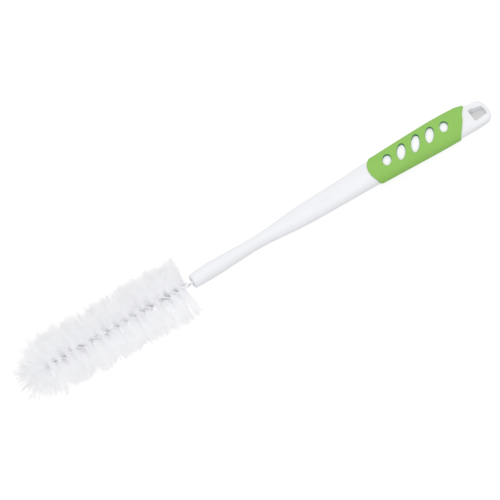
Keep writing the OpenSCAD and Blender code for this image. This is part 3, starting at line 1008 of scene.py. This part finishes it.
def makeSleeve():
    frontEdge, rearEdge = sleeveFrontEdge(angles), sleeveRearEdge(angles)
    proud, edge = sleeve["proud"], sleeve["edgeRound"]
    steps = np.linspace(0, 1, 190)

    # the bore follows the handle's recess, but lies straight under the outside near the windows
    def boreRing(t):
        place = between(frontEdge, rearEdge, t)
        outside = skinPoints(place, angles, proud)
        halfWidth, halfThick, shift, squareness = sectionAt(place)
        side = outside[:, 1] - shift
        share = np.abs(side) / (halfWidth + proud)
        turned = ease(0.62, 1, share)  # past the windows it turns to the recess
        side = side * (1 - turned) + side * (halfWidth - recess) / (halfWidth + proud) * turned
        across = np.clip(np.abs(side) / (halfWidth - recess), 0, 1)
        up = (halfThick - recess) * (1 - across**squareness) ** (1 / squareness)
        return np.column_stack([outside[:, 0], shift + side, np.sign(np.sin(angles)) * up])

    def outerRing(t, off, inset=0.0):
        return skinPoints(between(frontEdge + inset, rearEdge - inset, t), angles, off)

    def edgeRing(t, turn):
        # rings over the rounded edge at either end
        return outerRing(t, proud - edge * (1 - math.sin(turn)), edge * (1 - math.cos(turn)))

    turns = np.linspace(0, math.pi / 2, 6)[:-1]
    front = [outerRing(0, 0.0)] + [edgeRing(0, turn) for turn in turns]
    rear = [edgeRing(1, turn) for turn in turns[::-1]] + [outerRing(1, 0.0)]
    outside = [outerRing(t, proud, edge) for t in steps]
    bore = [boreRing(t) for t in steps]
    rings = front + outside + rear + bore[::-1]
    points = np.concatenate(rings)
    count = len(rings)
    faces = ringFaces(count, sideCount)
    last = (count - 1) * sideCount
    for j in range(sideCount):
        i = (j + 1) % sideCount
        faces.append((last + j, last + i, i, j))

    firstOut = len(front) * sideCount
    lastOut = firstOut + len(outside) * sideCount

    def boreTwin(v):
        # the bore's vertex under an outside vertex: the bore's rings run back to the front
        ring, column = divmod(v - firstOut, sideCount)
        return (count - 1 - ring) * sideCount + column

    windowRound = sleeve["windowRound"]
    corners = np.array(faces)
    onTop = ((corners >= firstOut) & (corners < lastOut)).all(1)
    centres = points[corners].mean(1)
    inWindow = windowDistance(centres[:, 0], centres[:, 1]) < windowRound
    cut = onTop & (centres[:, 2] > 0) & inWindow
    goneOut = {v for f, gone in zip(faces, cut) if gone for v in f}
    goneBore = {frozenset(boreTwin(v) for v in f) for f, gone in zip(faces, cut) if gone}
    kept = [f for f, gone in zip(faces, cut) if not gone and frozenset(f) not in goneBore]
    edges = [e for e in boundaryEdges(kept, goneOut) if e[0] < lastOut]
    rim = sorted({v for e in edges for v in e})
    plan = shiftToDistance(points[rim, :2], windowDistance, windowRound)
    points[rim] = np.column_stack([plan, skinHeight(plan[:, 0], plan[:, 1], proud)])
    loops = rimLoops(plan, windowDistance, windowRound, proud, 4)
    foot = shiftToDistance(plan, windowDistance, 0.0)
    footHeight = skinHeight(foot[:, 0], foot[:, 1], -recess)
    boreRim = [boreTwin(v) for v in rim]
    points[boreRim] = np.column_stack([foot, footHeight])
    first = len(points)
    points = np.concatenate([points] + loops)
    chain = {}
    for n, v in enumerate(rim):
        chain[v] = [v] + [first + k * len(rim) + n for k in range(len(loops))] + [boreTwin(v)]
    for a, b in edges:
        for k in range(len(loops) + 1):
            kept.append((chain[b][k], chain[a][k], chain[a][k + 1], chain[b][k + 1]))

    mesh = bpy.data.meshes.new("gripSleeve")
    mesh.from_pydata(points.tolist(), [], kept)
    # mask of the windows' walls, for their painted shade
    wallShade = np.zeros(len(points))
    wallShade[first + len(rim):] = 1
    wallShade[boreRim] = 1
    mesh.attributes.new("wall", "FLOAT", "POINT").data.foreach_set("value", wallShade)
    mesh.materials.append(gripRubber)
    placePiece(mesh, "gripSleeve", "grip_sleeve")


makeSleeve()
print("sleeve made")

# floor, light and camera
studio = {
    "floorSize": 8.0,
    "floorTint": 0.7,  # the grey that lights the brush from below
    "seenTint": 0.2,
    "floorGlow": 0.86,
    "mirrorGlow": 0.12,
    "holeShadowGlow": 0.48,  # painted shadow: the floor's glow under the hanging hole, deep in the tail's shade
    "holeShadowRadius": 0.007,
    "holeShadowShift": (0.002, 0.003, 0),
    "worldStrength": 0.85,
    "keyStrength": 0.5,
    "keyTilt": (math.radians(5), 0, math.radians(-35)),
    "keySoftness": math.radians(60),
}


def makeFloor():
    half = studio["floorSize"] / 2
    mesh = bpy.data.meshes.new("floor")
    corners = [(-half, -half, 0), (half, -half, 0), (half, half, 0), (-half, half, 0)]
    mesh.from_pydata(corners, [], [(0, 1, 2, 3)])
    floor = bpy.data.objects.new("floor", mesh)
    scene.collection.objects.link(floor)
    material = bpy.data.materials.new("paleFloor")
    material.use_nodes = True
    tree = material.node_tree
    shader = tree.nodes["Principled BSDF"]
    shader.inputs["Roughness"].default_value = 0.9
    # seen directly the floor is white paper with a weak shadow, and reflections show it nearly white
    path = addNode(tree, "ShaderNodeLightPath").outputs
    seen, mirrored = path["Is Camera Ray"], path["Is Glossy Ray"]
    tints = {0: seen, 2: studio["floorTint"], 3: studio["seenTint"]}
    tree.links.new(addNode(tree, "ShaderNodeMix", tints).outputs[0], shader.inputs["Base Color"])
    # painted shadow: the glow fades in the small patch that the hanging hole shows
    place = addNode(tree, "ShaderNodeTexCoord").outputs["Object"]
    under = layDown @ Vector((*holeCorners.mean(0), 0)) + Vector(studio["holeShadowShift"])
    away = vectors(tree, "DISTANCE", place, (under.x, under.y, 0))
    patch = addNode(
        tree,
        "ShaderNodeMapRange",
        {
            "Value": away,
            "From Min": 0.7 * studio["holeShadowRadius"],
            "From Max": studio["holeShadowRadius"],
            "To Min": studio["holeShadowGlow"],
            "To Max": studio["floorGlow"],
        },
        interpolation_type="SMOOTHSTEP",
    ).outputs[0]
    direct = maths(tree, "MULTIPLY", seen, patch)
    reflected = maths(tree, "MAXIMUM", mirrored, path["Is Transmission Ray"])
    glow = maths(tree, "MULTIPLY_ADD", reflected, studio["mirrorGlow"], direct)
    shader.inputs["Emission Color"].default_value = (1, 1, 1, 1)
    tree.links.new(glow, shader.inputs["Emission Strength"])
    mesh.materials.append(material)


def makeWorld():
    world = bpy.data.worlds.new("studio")
    scene.world = world
    world.use_nodes = True
    tree = world.node_tree
    background = tree.nodes["Background"]
    path = addNode(tree, "ShaderNodeLightPath").outputs
    seen = maths(tree, "MAXIMUM", path["Is Camera Ray"], path["Is Glossy Ray"])
    seen = maths(tree, "MAXIMUM", seen, path["Is Transmission Ray"])
    strength = addNode(tree, "ShaderNodeMix", {0: seen, 2: studio["worldStrength"], 3: 1.0}).outputs[0]
    background.inputs["Color"].default_value = (1, 1, 1, 1)
    tree.links.new(strength, background.inputs["Strength"])


def makeKey():
    key = bpy.data.objects.new("key", bpy.data.lights.new("key", "SUN"))
    key.data.energy = studio["keyStrength"]
    key.data.angle = studio["keySoftness"]
    key.rotation_euler = studio["keyTilt"]
    scene.collection.objects.link(key)


view = {
    "elevation": math.radians(64),  # of a look from the near side, square to the brush
    "skew": math.radians(13.12),  # of that look towards the tail
    "roll": math.radians(30.0451),
    "distance": 2,
    "lens": 203.27832,
    "slideRight": -0.005245,  # metres from the middle of the brush
    "slideUp": -0.003897,
}


def makeCamera():
    data = bpy.data.cameras.new("camera")
    data.lens = view["lens"]
    data.sensor_width = 36
    data.clip_end = 20
    camera = bpy.data.objects.new("camera", data)
    along, over = (layDown.to_3x3() @ Vector(axis) * 1000 for axis in ((1, 0, 0), (0, 0, 1)))
    square = math.cos(view["elevation"]) * Vector((0, 1, 0)) - math.sin(view["elevation"]) * over
    forward = math.sin(view["skew"]) * along + math.cos(view["skew"]) * square
    level = (along - along.dot(forward) * forward).normalized()
    upright = level.cross(forward)
    right = math.cos(view["roll"]) * level - math.sin(view["roll"]) * upright
    up = math.sin(view["roll"]) * level + math.cos(view["roll"]) * upright
    aim = layDown @ Vector((tailX / 2, 0, 0))
    place = aim + view["slideRight"] * right + view["slideUp"] * up - view["distance"] * forward
    camera.matrix_world = Matrix.Translation(place) @ Matrix((right, up, -forward)).transposed().to_4x4()
    scene.collection.objects.link(camera)
    scene.camera = camera


makeFloor()
makeWorld()
makeKey()
makeCamera()
scene.view_settings.view_transform = "Standard"
scene.cycles.max_bounces = 24  # light finds its way deep into the white filaments
scene.cycles.diffuse_bounces = 16
print("studio set")

bpy.context.view_layer.update()
